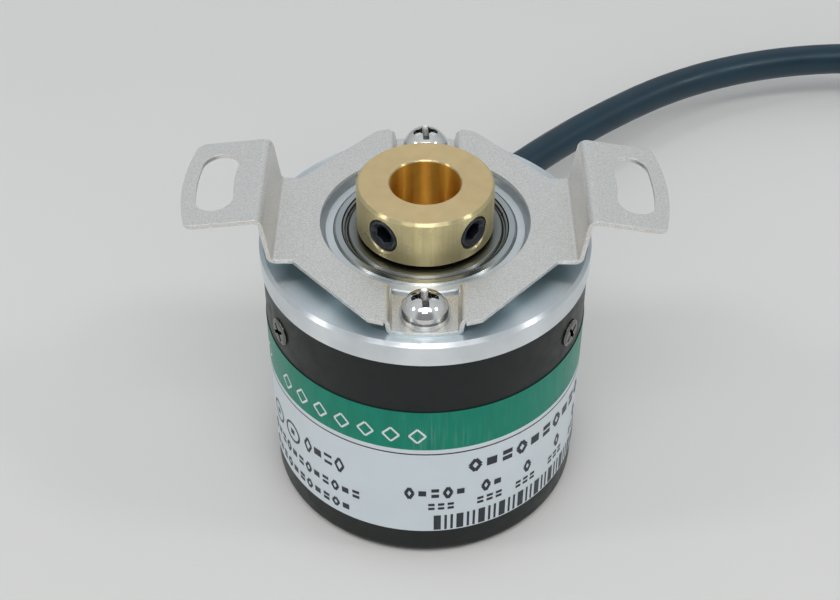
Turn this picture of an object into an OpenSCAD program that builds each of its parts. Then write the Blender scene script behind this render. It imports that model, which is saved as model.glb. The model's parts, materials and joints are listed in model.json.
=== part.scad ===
// Hollow-shaft incremental rotary encoder, 38 mm body, with a leaf-spring stator coupling.
// Millimetres. Z is the shaft axis, the flange face is z = 0 and the collar points up.
// The spring tabs lie along X and the cable leaves the back of the body towards +Y.

/* [Body] */
// Outside diameter of the aluminium front flange
flange_d = 38; // [38:0.1:39]
// Height of the visible flange band
flange_h = 2.9; // [2.5:0.1:3.2]
// Outside diameter of the black rear housing
housing_d = 37.6; // [37.2:0.1:37.8]
// Length from the flange face to the rear face
body_h = 34.8; // [34.5:0.1:37]
// Height of the raised boss around the front bearing
boss_h = 0.8; // [0.5:0.1:0.9]
// Distance of the label's upper edge below the flange face
label_drop = 10.2; // [9.5:0.1:11]
// Height of the wrapped label
label_h = 20.2; // [14:0.1:20.4]
// Distance of the radial cover screws below the flange face
cover_screw_drop = 6.9; // [6.4:0.1:7.2]

/* [Shaft] */
// Bore of the hollow shaft
bore_d = 8; // [6:0.5:8]
// Depth of the blind bore from the collar face
bore_depth = 26; // [18:1:27]
// Outside diameter of the clamping collar
collar_d = 15.5; // [15:0.1:16]
// Height of the collar face above the flange face
collar_top = 7.1; // [7:0.1:8]
// Angle between the two set screws
set_screw_spread = 83; // [80:1:120]
// Direction midway between the set screws, as the shaft is left at rest
rotor_rest = -86.5; // [-180:0.5:180]
// Height of the set screw axes above the flange face
set_screw_z = 4.2; // [4.1:0.05:4.5]
// Radius of the set screws
set_screw_r = 1.95; // [1.5:0.05:1.95]

/* [Spring plate] */
// Sheet thickness of the spring plate
plate_t = 0.5; // [0.4:0.05:0.6]
// Height of the top of the raised ring above the flange face
ring_top = 2.0; // [1.8:0.1:2.2]
// Opening around the bearing boss
plate_hole_d = 23.9; // [23.6:0.1:24.4]
// Outside diameter over the front and rear lands
plate_d = 36; // [35.5:0.1:36.5]
// Diameter over the outer edges of the two feet
foot_d = 35.2; // [34.9:0.1:35.8]
// Width of the strip that carries each tab
tab_w = 15; // [13:0.5:16]
// Distance of the tab bends above the flange face
tab_z = 7.5; // [6.5:0.1:9]
// Diameter over the outer edges of the two tabs
tab_span = 54; // [53:0.5:56]
// Outward lean of the risers
riser_lean = 8; // [4:1:12]
// Downward droop of the tab on the -X side
tab_droop_left = 6.5; // [0:0.5:10]
// Downward droop of the tab on the +X side
tab_droop_right = 10; // [0:0.5:12]
// Radius of the slot centre line
slot_r = 23.3; // [23:0.1:23.6]
// Width of the slots
slot_w = 4.2; // [3:0.1:4.6]
// Overall length of the slots
slot_l = 10.4; // [8:0.1:11]
// Radius of the plate screws from the shaft axis
plate_screw_r = 14.7; // [14.5:0.1:14.9]

/* [Encoder parts] */
// Diameter of the code disc
disc_d = 25.2; // [24:0.1:25.4]
// Thickness of the code disc
disc_t = 0.5; // [0.3:0.1:0.6]
// Number of balls in each bearing
ball_count = 12; // [9:1:13]
// Diameter of the balls
ball_d = 2.38; // [2.3:0.02:2.4]
// Radius of the optical read point
track_r = 11.3; // [11.2:0.1:11.4]

/* [Cable] */
// Outside diameter of the cable
cable_d = 5; // [4.8:0.1:5]
// Direction in which the cable leaves the body
cable_angle = 85.5; // [80:0.5:100]
// Depth of the cable axis below the flange face at the exit
cable_drop = 29.6; // [29.5:0.1:29.7]
// Radius of the first bend of the cable
cable_bend_1 = 50; // [40:1:80]
// Radius of the second bend of the cable
cable_bend_2 = 140; // [60:1:160]
// Radius of the last bend of the cable
cable_bend_3 = 65; // [40:1:90]

/* [Hidden] */
$fn = 48;

eps = 0.01;          // overshoot of cutting tools
fit = 0.02;          // radial play of a screw in its tapped hole
play = 0.05;         // radial play of a part in a plain hole or seat
edge = 0.4;          // chamfer on turned edges

// Bearings, size 12 x 21 x 5
brg_bore = 12;
brg_od = 21;
brg_w = 5;
front_top = 1.0;                      // outer face of the front bearing
rear_top = -6.0;                      // upper face of the rear bearing
rear_bottom = rear_top - brg_w;
pitch_r = (brg_bore + brg_od) / 4;
groove_r = ball_d / 2 + 0.06;
inner_land_r = 7.3;
outer_land_r = 9.2;
shield_seat_r = 9.55;
shield_t = 0.25;
shield_inset = 0.2;
shield_hole_r = 7.5;
shield_roll_r = 9.05;                 // groove that is rolled into the shield near its rim
shield_roll = 0.5;                    // depth of that groove
shield_lip = 0.75;                    // depth of the shield seat
crimp_count = 12;                     // nicks in the rolled groove
cage_ri = 8.0;
cage_ro = 8.5;
cage_h = 3;

// Flange
flange_r = flange_d / 2;
boss_r = 11.5;
housing_wall = 1.5;
housing_r = housing_d / 2;
cavity_r = housing_r - housing_wall;
spigot_r = cavity_r - play;
spigot_bottom = -10;
tube_r = 12.2;
tube_bottom = -13.2;
lip_r = 9.4;                          // shoulder between the two outer rings
clip_groove_r = 10.95;
washer_h = 0.7;
clip_t = 0.9;
clip_play = 0.03;
groove_top = rear_bottom - washer_h;
groove_bottom = groove_top - clip_t;

// Housing
rear_wall = 1.4;
rear_round = 1.3;
label_t = 0.1;
label_gap = 25;                       // half angle left open around the cable
grommet_r = 3.2;

// Small screws
m2_r = 1.0;
m2_head_r = 1.6;
m2_head_h = 1.3;
m3_r = 1.5;
m3_head_r = 2.5;
m3_head_side = 0.75;
m3_head_h = 2.15;
washer_r = 2.7;
washer_seats = [[-90, 0.7], [90, 1.2]];  // direction and pressed height of each lock washer
plate_screw_end = -4.6;
cover_angles = [-150, -30, 90];
cover_rise = 0.3;                     // height of each cover screw's head above the surface
cover_rim = 0.15;                     // chamfer round that head
cover_head_h = 0.6;                   // depth of its cone below the surface
cover_tip_r = 13.6;

// Optical parts
hub_top = rear_bottom;
hub_seat = -19.0;
hub_flange_h = 1.5;
hub_r = 8.5;
sleeve_r = 7.2;
journal_r = 5;
pilot_r = 6;
disc_bottom = hub_seat - disc_t;
pressure_t = 0.8;
pressure_r = 7.8;
ring_z = disc_bottom - pressure_t;
shaft_ring_t = 0.8;
shaft_groove_r = 4.4;
shaft_end = -21.4;
board_top = -22.4;
board_t = 1.6;
board_bottom = board_top - board_t;
board_r = 16.6;
standoff_angles = [30, 150, 270];
standoff_r = 14.9;
standoff_flats = 4;
sensor_h = 1.6;
mask_h = 0.9;
led_r = 1.5;
led_rim_r = 1.85;
led_rim_h = 0.75;
led_top = -14.1;
peg_x = -14.6;                        // two pegs that locate the LED holder
peg_y = 3.3;
peg_r = 0.9;
arm_top = -12.6;
arm_bottom = -18.3;
holder_w = 9;
lead_r = 0.25;
lead_pitch = 2.54;
lead_x = 15.4;

// Folds of the spring plate
bend_x = 16.4;                        // where the strips turn up
fold_steps = 10;                      // flats in each fold
lap = 0.5;                            // overlap of a folded piece with its neighbour
fold_r = 0.75;                        // centre-line radius of the tab folds
joggle_x = 4.35;                      // half width of the gap bridged by a foot
joggle_turn = 82;
joggle_r = 0.4;
ring_mid = ring_top - plate_t / 2;
joggle_drop = ring_mid - plate_t / 2;
joggle_flank = (joggle_drop - 2 * joggle_r * (1 - cos(joggle_turn))) / sin(joggle_turn);
foot_half = joggle_x - 2 * joggle_r * sin(joggle_turn) - joggle_flank * cos(joggle_turn);
riser_turn = 90 - riser_lean;
riser_rise = tab_z - plate_t / 2 - ring_mid - 2 * fold_r * (1 - cos(riser_turn));
riser_l = riser_rise / sin(riser_turn);

// Cable
cable_r = cable_d / 2;
cable_z = -cable_drop;
jacket_bore_r = 1.95;
shield_ro = 1.9;
shield_ri = 1.7;
wire_r = 0.5;
drain_r = 0.25;
wire_pos = 0.67;
jacket_start = 10.5;
shield_start = 9.8;
fan_start = 0.5;                      // where the conductors leave the plug
fan_end = 9.2;
plug_z = -25.9;
plug_pitch = 2;
body_exit = 20.5;                     // where the cable starts to bend
rise = 1.65;                          // climb of the cable away from the body
tail_fan = 14;
tail_bare = 3;
tail_pitch = 2.6;
wire_end = 6;                         // straight end of each conductor
tip_l = 5;
$joint = 0.1;
sleeve = 0.01;

// The cable outside the body as [bend radius, angle, roll]; roll picks the bending plane.
outside = [
  [30, rise, 90],
  [cable_bend_1, 39, 180],
  [cable_bend_2, 11, 180],
  [cable_bend_3, 42, 180]
];

// ---- helpers -------------------------------------------------------------

// Ring about Z between two heights.
module ring(ro, ri, z0, z1) {
  translate([0, 0, z0])
    difference() {
      cylinder(r = ro, h = z1 - z0);
      translate([0, 0, -eps]) cylinder(r = ri, h = z1 - z0 + 2 * eps);
    }
}

// Solid of revolution from radius and height pairs.
module turned(points) {
  rotate_extrude($fn = 96) polygon(points);
}

// Place children on a radius, with local X pointing outwards.
module at_angle(angle, radius = 0, z = 0) {
  rotate([0, 0, angle]) translate([radius, 0, z]) children();
}

// Cut or post along local X.
module along_x(r1, length, r2 = undef) {
  rotate([0, 90, 0]) cylinder(r1 = r1, r2 = is_undef(r2) ? r1 : r2, h = length);
}

// Cross recess in the top of a screw whose head top is at z = 0.
module cross_recess(span, width, depth) {
  core = 2 * width;
  foot = span / 6;
  flare = span / 3 / (depth - 0.4);
  intersection() {
    for (arm = [[0, span, width], [90, span, width], [45, core, core]])
      rotate([0, 0, arm[0]])
        translate([-arm[1] / 2, -arm[2] / 2, -depth])
          cube([arm[1], arm[2], depth + 1]);
    translate([0, 0, -depth]) cylinder(r1 = foot, r2 = foot + flare * (depth + 1), h = depth + 1);
  }
}

// Cross-head screw with a domed top, standing on z = 0.
module pan_screw(r, shank, head_r, side, height, span, width) {
  dome = height - side;
  dome_r = (head_r * head_r + dome * dome) / (2 * dome);
  difference() {
    union() {
      translate([0, 0, -shank]) cylinder(r = r, h = shank);
      cylinder(r = head_r, h = side);
      intersection() {
        translate([0, 0, side]) cylinder(r = head_r, h = dome);
        translate([0, 0, height - dome_r]) sphere(r = dome_r, $fn = 64);
      }
    }
    translate([0, 0, height]) cross_recess(span, width, height * 0.55);
  }
}

// Section of a round line or tube.
module line_section(r_out, r_in) {
  difference() {
    circle(r = r_out, $fn = 20);
    if (r_in > 0) circle(r = r_in, $fn = 20);
  }
}

// Straight run of a line along local X.
module line_run(from, to, r_out, r_in, oy, oz) {
  translate([from, 0, 0])
    rotate([90, 0, 90])
      linear_extrude(height = to - from)
        translate([oy, oz]) line_section(r_out, r_in);
}

// Bend of a line towards local Y. head and tail are cut off its ends.
module line_bend(radius, angle, r_out, r_in, oy, oz, head, tail) {
  per_mm = 180 / PI / radius;
  translate([0, radius, 0])
    rotate([0, 0, head * per_mm - 90])
      rotate_extrude(angle = angle - (head + tail) * per_mm)
        translate([radius - oy, oz]) line_section(r_out, r_in);
}

// Round line or tube along a path that starts along local X. A step is [length],
// [bend radius, angle, roll] or [dy, dz], which moves the frame and not the line.
// Pieces meet inside short sleeves that are wider by a hair.
module line(path, r_out, r_in = 0, oy = 0, oz = 0, i = 0) {
  if (i < len(path)) {
    step = path[i];
    head = i > 0 ? $joint : 0;
    tail = i < len(path) - 1 ? $joint : 0;
    if (head > 0 && len(step) != 2)
      line_run(-2 * $joint, 2 * $joint, r_out + sleeve, r_in > 0 ? r_in - sleeve : 0, oy, oz);
    if (len(step) == 1) {
      line_run(head, step[0] - tail, r_out, r_in, oy, oz);
      translate([step[0], 0, 0]) line(path, r_out, r_in, oy, oz, i + 1);
    }
    if (len(step) == 2)
      translate([0, -step[0], -step[1]])
        line(path, r_out, r_in, oy + step[0], oz + step[1], i + 1);
    if (len(step) == 3) {
      roll = step[2];
      rotate([roll, 0, 0])
        line_bend(step[0], step[1], r_out, r_in,
          oy * cos(roll) + oz * sin(roll), oz * cos(roll) - oy * sin(roll), head, tail);
      carry(step) line(path, r_out, r_in, oy, oz, i + 1);
    }
  }
}

// Move children to the end of one bend.
module carry(step) {
  rotate([step[2], 0, 0])
    translate([0, step[0], 0])
      rotate([0, 0, step[1]])
        translate([0, -step[0], 0])
          rotate([-step[2], 0, 0]) children();
}

// Two equal bends that shift a line sideways by dy and dz over a length.
function shift_steps(length, dy, dz) =
  let (side = norm([dy, dz]), bend = 2 * atan(side / length), roll = atan2(dz, dy))
  side < eps
    ? [[length]]
    : [[length / (2 * sin(bend)), bend, roll], [length / (2 * sin(bend)), bend, roll + 180]];

// ---- stator --------------------------------------------------------------

module flange() {
  color([0.86, 0.88, 0.9])
    difference() {
      turned([
        [brg_od / 2, boss_h], [boss_r - 0.15, boss_h], [boss_r, boss_h - 0.15], [boss_r, 0],
        [flange_r - edge, 0], [flange_r, -edge], [flange_r, -flange_h],
        [spigot_r, -flange_h], [spigot_r, spigot_bottom + edge], [spigot_r - edge, spigot_bottom],
        [tube_r, spigot_bottom], [tube_r, tube_bottom],
        [brg_od / 2, tube_bottom],
        [brg_od / 2, groove_bottom],
        [clip_groove_r, groove_bottom],
        [clip_groove_r, groove_top],
        [brg_od / 2, groove_top],
        [brg_od / 2, rear_top], [lip_r, rear_top],
        [lip_r, front_top - brg_w], [brg_od / 2, front_top - brg_w]
      ]);
      for (side = [-90, 90])
        at_angle(side, plate_screw_r, plate_screw_end - 0.6) cylinder(r = m3_r + fit, h = 10);
      for (a = cover_angles)
        at_angle(a, cover_tip_r - 0.4, -cover_screw_drop) along_x(m2_r + fit, 10);
      for (a = standoff_angles)
        at_angle(a, standoff_r, spigot_bottom - eps) cylinder(r = m2_r + fit, h = 3);
      for (y = [-1, 1])
        translate([peg_x, y * peg_y, spigot_bottom - eps]) cylinder(r = peg_r + fit, h = 1.8);
    }
}

module housing() {
  color([0.13, 0.13, 0.14])
    difference() {
      rotate_extrude($fn = 96)
        difference() {
          union() {
            translate([0, rear_round - body_h]) square([housing_r, body_h - rear_round - flange_h]);
            translate([0, -body_h]) square([housing_r - rear_round, body_h / 2]);
            translate([housing_r - rear_round, rear_round - body_h]) circle(r = rear_round);
          }
          translate([0, rear_wall - body_h]) square([cavity_r, body_h]);
        }
      for (a = cover_angles)
        at_angle(a, 0, -cover_screw_drop) {
          translate([cavity_r - 1, 0, 0]) along_x(m2_r + play, 5);
          translate([housing_r - cover_head_h, 0, 0])
            along_x(m2_r + play, cover_head_h + eps, m2_head_r + play);
        }
      at_angle(cable_angle, cavity_r - 1, cable_z) along_x(grommet_r, 5);
    }
}

module label() {
  color([0.86, 0.89, 0.92])
    rotate([0, 0, cable_angle + label_gap])
      rotate_extrude(angle = 360 - 2 * label_gap, $fn = 96)
        translate([housing_r, -label_drop - label_h]) square([label_t, label_h]);
}

// Points of one face of a folded sheet, seen from the side. A step is [length] or
// [centre-line radius, angle]; side is +1 for the upper face and -1 for the lower one.
function face_points(path, side, x, z, heading = 0, i = 0) =
  i == len(path)
    ? []
    : let (step = path[i], bends = len(step) == 2, turn = bends ? step[1] : 0, way = sign(turn))
      bends
        ? let (cx = x - way * step[0] * sin(heading), cz = z + way * step[0] * cos(heading))
          concat(
            [for (k = [1 : fold_steps])
              let (h = heading + turn * k / fold_steps, r = way * step[0] - side * plate_t / 2)
              [cx + r * sin(h), cz - r * cos(h)]],
            face_points(path, side, cx + way * step[0] * sin(heading + turn),
              cz - way * step[0] * cos(heading + turn), heading + turn, i + 1))
        : let (nx = x + step[0] * cos(heading), nz = z + step[0] * sin(heading))
          concat(
            [[nx - side * plate_t / 2 * sin(heading), nz + side * plate_t / 2 * cos(heading)]],
            face_points(path, side, nx, nz, heading, i + 1));

// Folded sheet that starts at x on the ring's level and is centred on Y.
module sheet(path, x, width) {
  upper = concat([[x, ring_top]], face_points(path, 1, x, ring_mid));
  lower = concat([[x, ring_top - plate_t]], face_points(path, -1, x, ring_mid));
  rotate([90, 0, 0])
    linear_extrude(height = width, center = true)
      polygon(concat(upper, [for (i = [len(lower) - 1 : -1 : 0]) lower[i]]));
}

// Plan shape of the raised ring: tab strips, slanted shoulders, round lands.
module ring_plan() {
  shoulder_x = 14.6;
  land_x = 6.1;
  land_y = 16.9;
  difference() {
    union() {
      translate([-bend_x, -tab_w / 2]) square([2 * bend_x, tab_w]);
      intersection() {
        circle(d = plate_d, $fn = 96);
        polygon([
          [shoulder_x, tab_w / 2], [land_x, land_y], [land_x - 1.9, plate_d / 2],
          [1.9 - land_x, plate_d / 2], [-land_x, land_y], [-shoulder_x, tab_w / 2],
          [-shoulder_x, -tab_w / 2], [-land_x, -land_y], [1.9 - land_x, -plate_d / 2],
          [land_x - 1.9, -plate_d / 2], [land_x, -land_y], [shoulder_x, -tab_w / 2]
        ]);
      }
    }
    circle(d = plate_hole_d, $fn = 96);
    for (s = [-1, 1])
      translate([-joggle_x, s > 0 ? 8 : -28]) square([2 * joggle_x, 20]);
  }
}

// Outline of a tab seen from above, with its curved outer edge.
module tab_plan() {
  corner = 1.2;
  corner_y = tab_w / 2 - corner;
  corner_x = sqrt(pow(tab_span / 2 - corner, 2) - pow(corner_y, 2));
  difference() {
    union() {
      intersection() {
        circle(d = tab_span, $fn = 128);
        translate([0, corner - tab_w / 2]) square([tab_span, tab_w - 2 * corner]);
      }
      intersection() {
        circle(d = tab_span - 2 * corner, $fn = 128);
        translate([0, -tab_w / 2]) square([tab_span, tab_w]);
      }
      for (s = [-1, 1])
        translate([corner_x, s * corner_y])
          circle(r = corner, $fn = 24);
    }
    slot_plan();
  }
}

// Curved slot concentric with the shaft.
module slot_plan() {
  half = (slot_l - slot_w) / 2 / slot_r * 180 / PI;
  intersection() {
    difference() {
      circle(r = slot_r + slot_w / 2, $fn = 128);
      circle(r = slot_r - slot_w / 2, $fn = 128);
    }
    polygon([[0, 0], [40 * cos(half), 40 * sin(half)], [40 * cos(half), -40 * sin(half)]]);
  }
  for (s = [-1, 1])
    rotate([0, 0, s * half]) translate([slot_r, 0]) circle(d = slot_w, $fn = 32);
}

// One tab with its riser and slot.
module plate_tab(droop) {
  intersection() {
    sheet([[lap], [fold_r, riser_turn], [riser_l], [fold_r, -riser_turn - droop], [12]],
      bend_x - lap, tab_w);
    translate([0, 0, -eps]) linear_extrude(height = 20) tab_plan();
  }
}

// One screwed foot that bridges a gap in the ring.
module plate_foot() {
  difference() {
    intersection() {
      translate([0, -plate_screw_r, 0])
        sheet([[lap], [joggle_r, -joggle_turn], [joggle_flank], [joggle_r, joggle_turn],
          [2 * foot_half], [joggle_r, joggle_turn], [joggle_flank], [joggle_r, -joggle_turn], [lap]],
          -joggle_x - lap, 9);
      translate([0, 0, -eps])
        linear_extrude(height = 4)
          difference() {
            circle(d = foot_d, $fn = 96);
            circle(d = plate_hole_d, $fn = 96);
          }
    }
    translate([0, -plate_screw_r, -1]) cylinder(r = 1.7, h = 3);
  }
}

module spring_plate() {
  color([0.74, 0.73, 0.71]) {
    translate([0, 0, ring_top - plate_t]) linear_extrude(height = plate_t) ring_plan();
    plate_tab(tab_droop_right);
    rotate([0, 0, 180]) plate_tab(tab_droop_left);
    for (turn = [0, 180]) rotate([0, 0, turn]) plate_foot();
  }
}

module plate_screws() {
  color([0.8, 0.8, 0.8])
    for (seat = washer_seats)
      at_angle(seat[0], plate_screw_r, plate_t + seat[1])
        rotate([0, 0, 4])
          pan_screw(m3_r, plate_t + seat[1] - plate_screw_end, m3_head_r, m3_head_side, m3_head_h, 3, 0.75);
}

module plate_lock_washers() {
  color([0.72, 0.72, 0.72])
    for (seat = washer_seats)
      at_angle(seat[0], plate_screw_r, plate_t)
        difference() {
          ring(washer_r, 1.6, 0, seat[1]);
          rotate([0, 0, 205]) translate([1, -0.12, -eps]) cube([2, 0.24, 2]);
        }
}

module cover_screws() {
  color([0.1, 0.1, 0.1])
    for (a = cover_angles)
      at_angle(a, housing_r, -cover_screw_drop)
        rotate([0, 90, 0])
          difference() {
            union() {
              translate([0, 0, cover_tip_r - housing_r]) cylinder(r = m2_r, h = housing_r - cover_tip_r);
              translate([0, 0, -cover_head_h]) cylinder(r1 = m2_r, r2 = m2_head_r, h = cover_head_h);
              cylinder(r = m2_head_r, h = cover_rise - cover_rim);
              translate([0, 0, cover_rise - cover_rim])
                cylinder(r1 = m2_head_r, r2 = m2_head_r - 2 * cover_rim, h = cover_rim);
            }
            translate([0, 0, cover_rise]) rotate([0, 0, 30]) cross_recess(2.3, 0.45, 0.7);
          }
}

// ---- bearings ------------------------------------------------------------

module outer_ring(top) {
  color([0.55, 0.57, 0.6])
    difference() {
      translate([0, 0, top])
        turned([
          [shield_seat_r, 0], [brg_od / 2 - 0.3, 0], [brg_od / 2, -0.3],
          [brg_od / 2, 0.3 - brg_w], [brg_od / 2 - 0.3, -brg_w], [shield_seat_r, -brg_w],
          [shield_seat_r, shield_lip - brg_w], [outer_land_r, shield_lip - brg_w],
          [outer_land_r, -shield_lip], [shield_seat_r, -shield_lip]
        ]);
      race(top);
    }
}

module inner_ring(top) {
  color([0.62, 0.64, 0.66])
    difference() {
      translate([0, 0, top])
        turned([
          [brg_bore / 2, 0], [inner_land_r, 0], [inner_land_r, -brg_w], [brg_bore / 2, -brg_w]
        ]);
      race(top);
    }
}

// Torus that cuts both raceways.
module race(top) {
  translate([0, 0, top - brg_w / 2])
    rotate_extrude($fn = 96) translate([pitch_r, 0]) circle(r = groove_r, $fn = 32);
}

// Sheet ring with a groove rolled near its rim and nicks where it is crimped into its seat.
module shield() {
  rim_r = shield_seat_r - play;
  difference() {
    turned([
      [shield_hole_r, -shield_inset], [shield_roll_r - 0.5, -shield_inset],
      [shield_roll_r - 0.35, -shield_inset - 0.05], [shield_roll_r - 0.1, -shield_roll],
      [shield_roll_r + 0.05, -shield_roll], [shield_roll_r + 0.15, -shield_inset],
      [rim_r - 0.1, -0.1], [rim_r, -shield_inset], [rim_r, -shield_lip],
      [shield_roll_r - 0.25, -shield_lip], [shield_roll_r - 0.6, -shield_inset - shield_t],
      [shield_hole_r, -shield_inset - shield_t]
    ]);
    for (i = [0 : crimp_count - 1])
      at_angle((i + 0.5) * 360 / crimp_count, shield_roll_r, -shield_roll - 0.1)
        translate([-0.05, -0.06, 0]) cube([0.3, 0.12, 1]);
  }
}

module shields(top) {
  color([0.7, 0.72, 0.73])
    for (face = [0, 1])
      translate([0, 0, top - brg_w / 2])
        rotate([face * 180, 0, 0])
          translate([0, 0, brg_w / 2]) shield();
}

module balls(top) {
  color([0.85, 0.86, 0.88])
    for (i = [0 : ball_count - 1])
      at_angle(i * 360 / ball_count, pitch_r, top - brg_w / 2) sphere(d = ball_d, $fn = 24);
}

module cage(top) {
  color([0.6, 0.45, 0.28])
    difference() {
      ring(cage_ro, cage_ri, top - brg_w / 2 - cage_h / 2, top - brg_w / 2 + cage_h / 2);
      for (i = [0 : ball_count - 1])
        at_angle(i * 360 / ball_count, pitch_r, top - brg_w / 2) sphere(d = ball_d + 0.1, $fn = 24);
    }
}

module front_outer_ring() outer_ring(front_top);
module rear_outer_ring() outer_ring(rear_top);
module front_inner_ring() inner_ring(front_top);
module rear_inner_ring() inner_ring(rear_top);
module front_shields() shields(front_top);
module rear_shields() shields(rear_top);
module front_balls() balls(front_top);
module rear_balls() balls(rear_top);
module front_cage() cage(front_top);
module rear_cage() cage(rear_top);

// Dished spring washer that loads the rear outer ring.
module preload_washer() {
  out_r = 10.4;
  in_r = 9.65;
  sheet_t = 0.25;
  color([0.45, 0.47, 0.5])
    translate([0, 0, rear_bottom])
      turned([
        [out_r, 0], [out_r, -sheet_t], [in_r + 0.15, -washer_h],
        [in_r, -washer_h], [in_r, sheet_t - washer_h], [out_r - 0.15, 0]
      ]);
}

module bearing_retaining_ring() {
  color([0.3, 0.3, 0.32])
    difference() {
      ring(clip_groove_r - play, lip_r - 0.1, groove_bottom + clip_play, groove_top - clip_play);
      rotate([0, 0, -8]) translate([0, 0, -20]) cube([20, 3.6, 20]);
    }
}

// ---- optical parts -------------------------------------------------------

module led_holder() {
  back_x = -16.5;
  slot_w = 4;
  shelf_top = led_top + 0.1;
  color([0.1, 0.1, 0.11])
    difference() {
      union() {
        translate([back_x, -holder_w / 2, arm_bottom]) cube([4, holder_w, spigot_bottom - arm_bottom]);
        translate([back_x, -holder_w / 2, arm_bottom]) cube([7.5, holder_w, shelf_top - arm_bottom]);
        for (y = [-1, 1])
          translate([peg_x, y * peg_y, spigot_bottom]) cylinder(r = peg_r, h = 1.5);
      }
      translate([back_x - 0.5, -slot_w / 2, shelf_top]) cube([9, slot_w, arm_top - shelf_top]);
      translate([back_x + 0.5, -slot_w / 2, arm_bottom - 1]) cube([1.2, slot_w, arm_top - arm_bottom + 1]);
      translate([-track_r, 0, arm_bottom - 1]) cylinder(r = led_r + play, h = 6);
      translate([-track_r, 0, led_top - led_rim_h - play]) cylinder(r = led_rim_r + play, h = 2);
    }
}

module led_emitter() {
  lens_z = -17;
  color([0.75, 0.82, 0.9])
    translate([-track_r, 0, 0]) {
      translate([0, 0, led_top - led_rim_h]) cylinder(r = led_rim_r, h = led_rim_h);
      translate([0, 0, lens_z]) cylinder(r = led_r, h = led_top - lens_z);
      translate([0, 0, lens_z]) sphere(r = led_r, $fn = 32);
    }
}

module led_leads() {
  up = 0.1;
  bend = 0.5;
  down = led_top - board_bottom + 0.7;
  color([0.75, 0.75, 0.75])
    for (y = [-1, 1])
      translate([-track_r, y * lead_pitch / 2, led_top])
        rotate([0, -90, 0])
          line([[up], [bend, 90, 90], [lead_x - track_r - 2 * bend], [bend, 90, 90], [down]],
            lead_r, $joint = 0);
}

module mask_plate() {
  color([0.2, 0.25, 0.3])
    translate([-track_r - 2, -2.5, board_top + sensor_h]) cube([4, 5, mask_h]);
}

// Chip package with rows of leads on both long sides, top face up.
module chip(length, width, height, pins, pitch) {
  translate([-length / 2, -width / 2, 0.1]) cube([length, width, height - 0.1]);
  for (side = [-1, 1])
    for (i = [0 : pins - 1])
      translate([(i - (pins - 1) / 2) * pitch - 0.2, side > 0 ? width / 2 - 0.1 : -width / 2 - 0.9, 0])
        cube([0.4, 1, 0.3]);
}

module sensor_ic() {
  color([0.08, 0.08, 0.09])
    translate([-track_r, 0, board_top]) rotate([0, 0, 90]) chip(6, 4.4, sensor_h, 4, 1.27);
}

module circuit_board() {
  color([0.06, 0.3, 0.16])
    difference() {
      translate([0, 0, board_bottom]) cylinder(r = board_r, h = board_t, $fn = 96);
      for (a = standoff_angles)
        at_angle(a, standoff_r, board_bottom - 1) cylinder(r = m2_r + play, h = 4);
      for (y = [-1, 1])
        translate([-lead_x, y * lead_pitch / 2, board_bottom - 1])
          cylinder(r = lead_r + 2 * play, h = 4, $fn = 16);
    }
}

module board_standoffs() {
  color([0.8, 0.68, 0.4])
    for (a = standoff_angles)
      at_angle(a, standoff_r, 0)
        difference() {
          union() {
            translate([0, 0, board_top])
              rotate([0, 0, 30])
                cylinder(d = standoff_flats / cos(30), h = spigot_bottom - board_top, $fn = 6);
            translate([0, 0, spigot_bottom - 1]) cylinder(r = m2_r, h = 3.5);
          }
          translate([0, 0, board_top - 1]) cylinder(r = m2_r + fit, h = 5.4);
        }
}

module board_screws() {
  color([0.78, 0.78, 0.8])
    for (a = standoff_angles)
      at_angle(a, standoff_r, board_bottom)
        rotate([180, 0, 0]) pan_screw(m2_r, board_t + 4, m2_head_r, 0.6, m2_head_h, 2, 0.4);
}

// Place children on the underside of the board, facing away from it.
module under_board(x, y, turn = 0) {
  translate([x, y, board_bottom]) rotate([180, 0, turn]) children();
}

module driver_ic() {
  color([0.08, 0.08, 0.09]) under_board(-9.8, -2, 90) chip(10, 3.9, 1.6, 8, 1.27);
}

module regulator() {
  color([0.09, 0.09, 0.1])
    under_board(9, 3.4) {
      translate([-2.25, -1.25, 0]) cube([4.5, 2.5, 1.5]);
      for (i = [-1 : 1]) translate([i * 1.5 - 0.2, 1.2, 0]) cube([0.4, 1, 0.3]);
      translate([-0.9, -2.2, 0]) cube([1.8, 1, 0.3]);
    }
}

module filter_capacitor() {
  can_r = 2.5;
  color([0.75, 0.76, 0.78])
    under_board(9.5, -3) {
      translate([-2.65, -2.65, 0]) cube([5.3, 5.3, 0.7]);
      translate([0, 0, 0.7]) cylinder(r = can_r, h = 4.6);
    }
}

module board_capacitors() {
  color([0.72, 0.6, 0.42])
    for (p = [[4, -10.5], [7, -10.5], [-13, 4], [-13.2, -7.5], [13.6, 1.5]])
      under_board(p[0], p[1]) translate([-1, -0.6, 0]) cube([2, 1.2, 0.9]);
}

module board_resistors() {
  color([0.12, 0.12, 0.12])
    for (i = [0 : 4])
      under_board(-7.5 + i * 2.2, -11.6, 90) translate([-0.8, -0.4, 0]) cube([1.6, 0.8, 0.45]);
}

// ---- connector and cable -------------------------------------------------

// Frame with local X along the cable exit and the height of the conductors in the plug.
module exit_frame(z) {
  rotate([0, 0, cable_angle]) translate([0, 0, z]) children();
}

module header() {
  body_w = 12.4;
  mouth_w = 10.8;
  bottom = -27.8;
  color([0.9, 0.89, 0.84])
    exit_frame(0)
      difference() {
        translate([-6.2, -body_w / 2, bottom]) cube([6, body_w, board_bottom - bottom]);
        translate([-4.2, -mouth_w / 2, bottom + 0.7]) cube([5, mouth_w, 2.4]);
      }
}

module plug() {
  body_w = 10.6;
  body_t = 2.2;
  color([0.93, 0.93, 0.9])
    exit_frame(plug_z - body_t / 2)
      translate([-4.2, -body_w / 2, 0]) cube([4.2 + fan_start, body_w, body_t]);
}

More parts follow.
